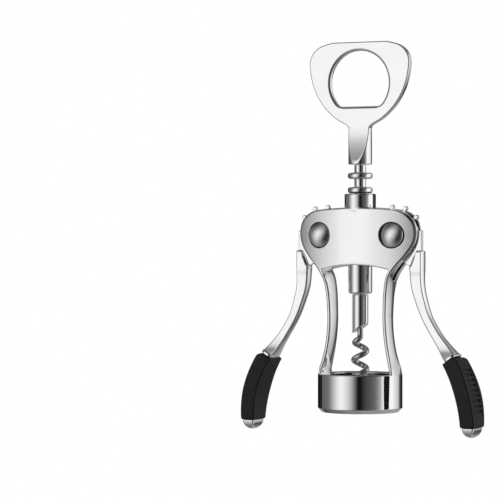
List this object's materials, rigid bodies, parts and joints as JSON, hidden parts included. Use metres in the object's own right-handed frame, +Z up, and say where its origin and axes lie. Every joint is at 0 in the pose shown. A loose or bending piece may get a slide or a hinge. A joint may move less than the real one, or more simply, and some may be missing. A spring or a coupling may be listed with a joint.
{
  "type": "lever corkscrew",
  "caption": "Wing corkscrew: a crown-cap opener handle turns a worm through a bell frame, and geared levers with black grips lift the ringed spindle.",
  "frame": {"origin": "on the spindle axis, in the plane of the bell's lower rim, where the bottle's neck enters", "axes": "+Z up the spindle towards the opener handle, X from lever to lever, -Y towards the front face"},
  "size_m": [0.122, 0.0398, 0.1839],
  "materials": {
    "frame_chrome": "bright chrome plate on a die casting, with satin-bright bowed faces",
    "spindle_chrome": "mirror chrome plate",
    "shaft_steel": "turned steel",
    "worm_steel": "polished steel wire",
    "handle_chrome": "bright chrome plate with a fine satin face",
    "lever_chrome": "mirror chrome plate",
    "trim_chrome": "mirror chrome plate",
    "pin_steel": "satin steel dome that looks dark in its recess",
    "grip_black": "black moulded grip with cross ribs on its outer face"
  },
  "bodies": {
    "frame": {"frame_body": "frame_chrome", "left_pivot_pin": "pin_steel", "left_pin_cap": "pin_steel", "right_pivot_pin": "pin_steel", "right_pin_cap": "pin_steel"},
    "rack": {"spindle_rack": "spindle_chrome"},
    "screw": {"opener_handle": "handle_chrome", "screw_shaft": "shaft_steel", "worm_holder": "spindle_chrome", "worm": "worm_steel"},
    "left_lever": {"left_lever": "lever_chrome", "left_grip_collar": "trim_chrome", "left_grip": "grip_black", "left_end_cap": "trim_chrome"},
    "right_lever": {"right_lever": "lever_chrome", "right_grip_collar": "trim_chrome", "right_grip": "grip_black", "right_end_cap": "trim_chrome"}
  },
  "joints": [
    {"name": "spindle_slide", "type": "slide", "parent": "frame", "child": "rack", "axis": [0, 0, 1], "range_m": [-0.0271, 0.0041]},
    {"name": "handle_turn", "type": "hinge", "parent": "rack", "child": "screw", "pos_m": [0, 0, 0], "axis": [0, 0, 1], "continuous": true},
    {"name": "left_lever_swing", "type": "hinge", "parent": "frame", "child": "left_lever", "pos_m": [-0.0189, 0, 0.0829], "axis": [0, 1, 0], "range_deg": [-18.5, 120.5]},
    {"name": "right_lever_swing", "type": "hinge", "parent": "frame", "child": "right_lever", "pos_m": [0.0189, 0, 0.0829], "axis": [0, -1, 0], "range_deg": [-18.5, 120.5]}
  ],
  "couplings": [
    {"joint": "left_lever_swing", "follows": "spindle_slide", "rad_per_m": -77.519},
    {"joint": "right_lever_swing", "follows": "spindle_slide", "rad_per_m": -77.519}
  ]
}
